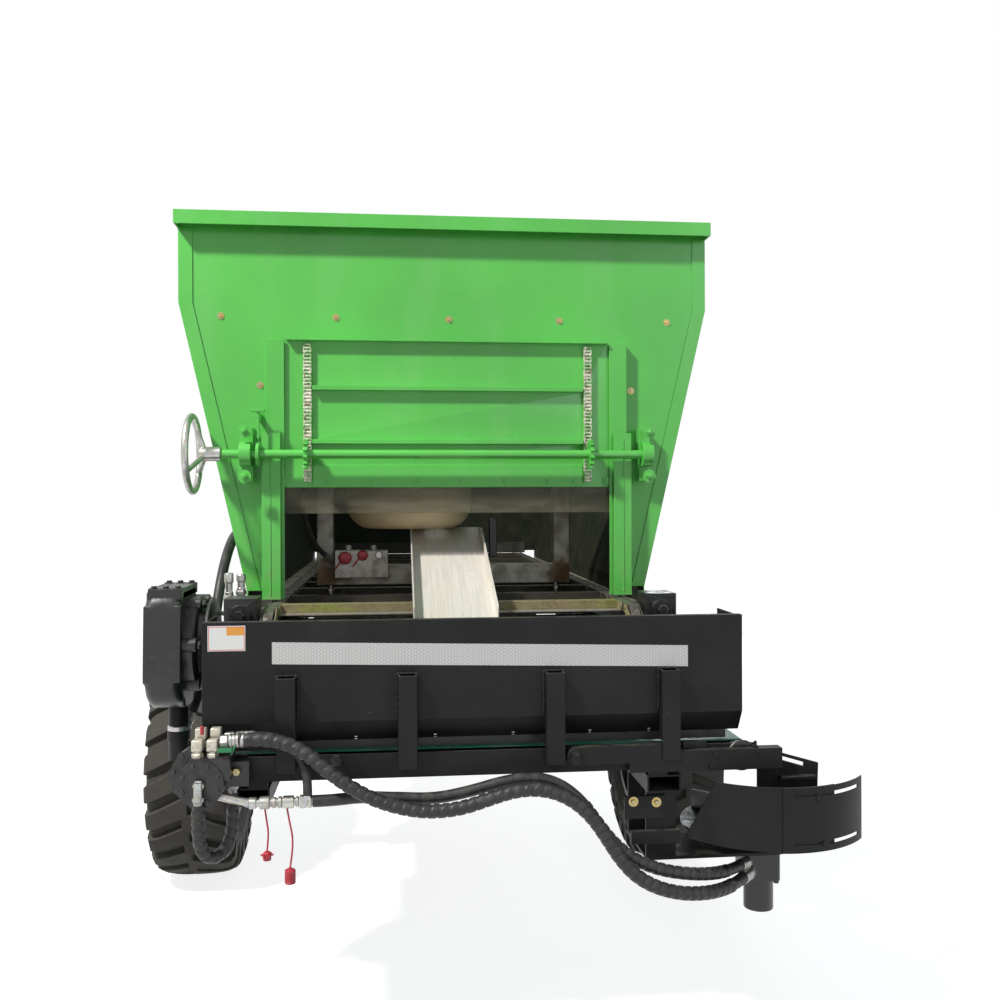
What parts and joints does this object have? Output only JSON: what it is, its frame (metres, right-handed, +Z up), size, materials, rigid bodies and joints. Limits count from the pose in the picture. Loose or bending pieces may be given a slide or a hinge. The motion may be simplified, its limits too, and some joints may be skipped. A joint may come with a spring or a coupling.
{
  "type": "trailed manure spreader",
  "caption": "Trailed orchard manure spreader: hopper with floor apron, rear gate on rack chains, cross belt and a side spinner with curved guard, parked on its jack.",
  "frame": {"origin": "middle of the machine's floor area, on the ground", "axes": "+X to the machine's right seen from behind, +Y forward to the hitch, +Z up"},
  "size_m": [1.898, 4.237, 2.071],
  "materials": {
    "green_paint": "glossy green enamel",
    "black_paint": "satin black enamel",
    "tyre_rubber": "dusty tyre rubber",
    "rim_paint": "satin dark grey enamel",
    "chain_steel": "oiled and dusty steel",
    "galvanised": "dull zinc",
    "stainless": "brushed stainless sheet",
    "cream_plastic": "translucent cream plastic",
    "hose_rubber": "black hose rubber",
    "belt_rubber": "flat black belt rubber",
    "flap_rubber": "grey-brown rubber sheet",
    "red_plastic": "red dust caps",
    "bare_steel": "bare steel"
  },
  "bodies": {
    "machine": {"hopper_right_wall": "green_paint", "hopper_left_wall": "green_paint", "hopper_front_wall": "green_paint", "hopper_rear_panel": "green_paint", "hopper_right_cheek": "green_paint", "hopper_left_cheek": "green_paint", "hopper_rim": "green_paint", "gate_guides": "green_paint", "lift_bearings": "green_paint", "axle_beam": "black_paint", "chassis_rails": "black_paint", "chassis_crossmembers": "black_paint", "hopper_sills": "black_paint", "drawbar": "black_paint", "apron_bearings": "black_paint", "apron_gearbox": "black_paint", "apron_motor": "black_paint", "trough_hood": "black_paint", "hood_brackets": "black_paint", "belt_frame": "black_paint", "belt_motor": "black_paint", "conveyor_tubes": "black_paint", "spinner_arm": "black_paint", "spinner_guard_fixed": "black_paint", "spinner_guard_slide": "black_paint", "spinner_carrier": "black_paint", "spinner_motor": "black_paint", "jack_tube": "black_paint", "apron_chains": "chain_steel", "apron_shafts": "chain_steel", "hose_fittings": "galvanised", "hitch_eye": "galvanised", "additive_chute": "stainless", "additive_frame": "stainless", "additive_bowl": "cream_plastic", "additive_valve": "cream_plastic", "hose_spinner_feed": "hose_rubber", "hose_spinner_return": "hose_rubber", "hose_coupler": "hose_rubber", "hose_motor_loop": "hose_rubber", "hose_lift": "hose_rubber", "hose_additive": "hose_rubber", "belt": "belt_rubber", "trough_skirt": "belt_rubber", "cap_cord_short": "red_plastic", "cap_cord_long": "red_plastic", "dust_caps": "red_plastic", "belt_drums": "bare_steel", "hopper_floor": "bare_steel"},
    "wheel_right": {"tyre_right": "tyre_rubber", "wheel_right": "rim_paint"},
    "wheel_left": {"tyre_left": "tyre_rubber", "wheel_left": "rim_paint"},
    "gate": {"gate": "green_paint", "gate_rack_chains": "chain_steel", "gate_flap": "flap_rubber"},
    "lift": {"lift_shaft": "green_paint", "handwheel": "galvanised"},
    "spinner": {"spinner_disc": "stainless"},
    "jack": {"jack_leg": "galvanised"}
  },
  "joints": [
    {"name": "wheel_right_spin", "type": "hinge", "parent": "machine", "child": "wheel_right", "pos_m": [0.817, -0.6515, 0.387], "axis": [1, 0, 0], "continuous": true},
    {"name": "wheel_left_spin", "type": "hinge", "parent": "machine", "child": "wheel_left", "pos_m": [-0.817, -0.6515, 0.387], "axis": [1, 0, 0], "continuous": true},
    {"name": "gate_slide", "type": "slide", "parent": "machine", "child": "gate", "axis": [0, 0, 1], "range_m": [-0.1, 0.07]},
    {"name": "lift_turn", "type": "hinge", "parent": "machine", "child": "lift", "pos_m": [0, -1.5498, 1.418], "axis": [1, 0, 0], "range_deg": [-144.5, 101.5]},
    {"name": "spinner_spin", "type": "hinge", "parent": "machine", "child": "spinner", "pos_m": [0.743, -1.8665, 0.49], "axis": [0, 0, 1], "continuous": true},
    {"name": "jack_slide", "type": "slide", "parent": "machine", "child": "jack", "axis": [0, 0, 1], "range_m": [0, 0.25]}
  ],
  "couplings": [
    {"joint": "lift_turn", "follows": "gate_slide", "rad_per_m": 25.125}
  ]
}
